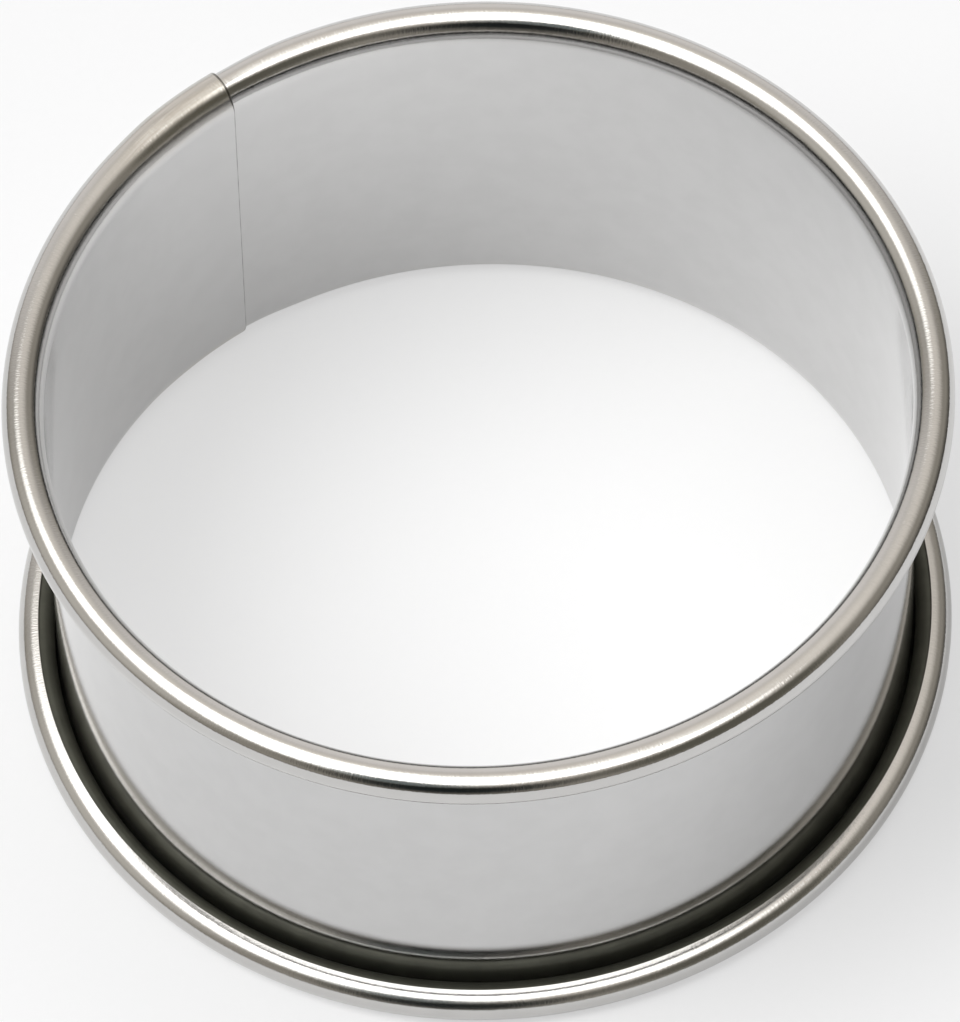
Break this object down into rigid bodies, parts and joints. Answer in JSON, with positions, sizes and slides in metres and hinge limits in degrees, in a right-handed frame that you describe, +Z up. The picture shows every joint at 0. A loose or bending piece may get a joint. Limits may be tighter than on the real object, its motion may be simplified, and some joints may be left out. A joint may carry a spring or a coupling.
{
  "type": "cake ring",
  "caption": "Round open cake ring of thin stainless steel sheet, with a bead rolled over a wire along both edges and a lapped, spot-welded seam.",
  "frame": {"origin": "centre of the ring, in the plane that it stands on", "axes": "+Z up along the ring's axis; the picture looks along +Y from above, with +X to the right, and the mouth of the seam is 122.65 degrees round from +X"},
  "size_m": [0.1086, 0.1086, 0.0514],
  "materials": {
    "sheet_steel": "bright rolled stainless sheet: soft satin wall, polished beads",
    "wire_steel": "drawn wire, dull and dark",
    "weld_steel": "spot weld, slightly dished and dull"
  },
  "bodies": {
    "root": {"rolled_band": "sheet_steel", "upper_rim_wire": "wire_steel", "lower_rim_wire": "wire_steel", "seam_weld_upper": "weld_steel", "seam_weld_middle": "weld_steel", "seam_weld_lower": "weld_steel"}
  },
  "joints": []
}
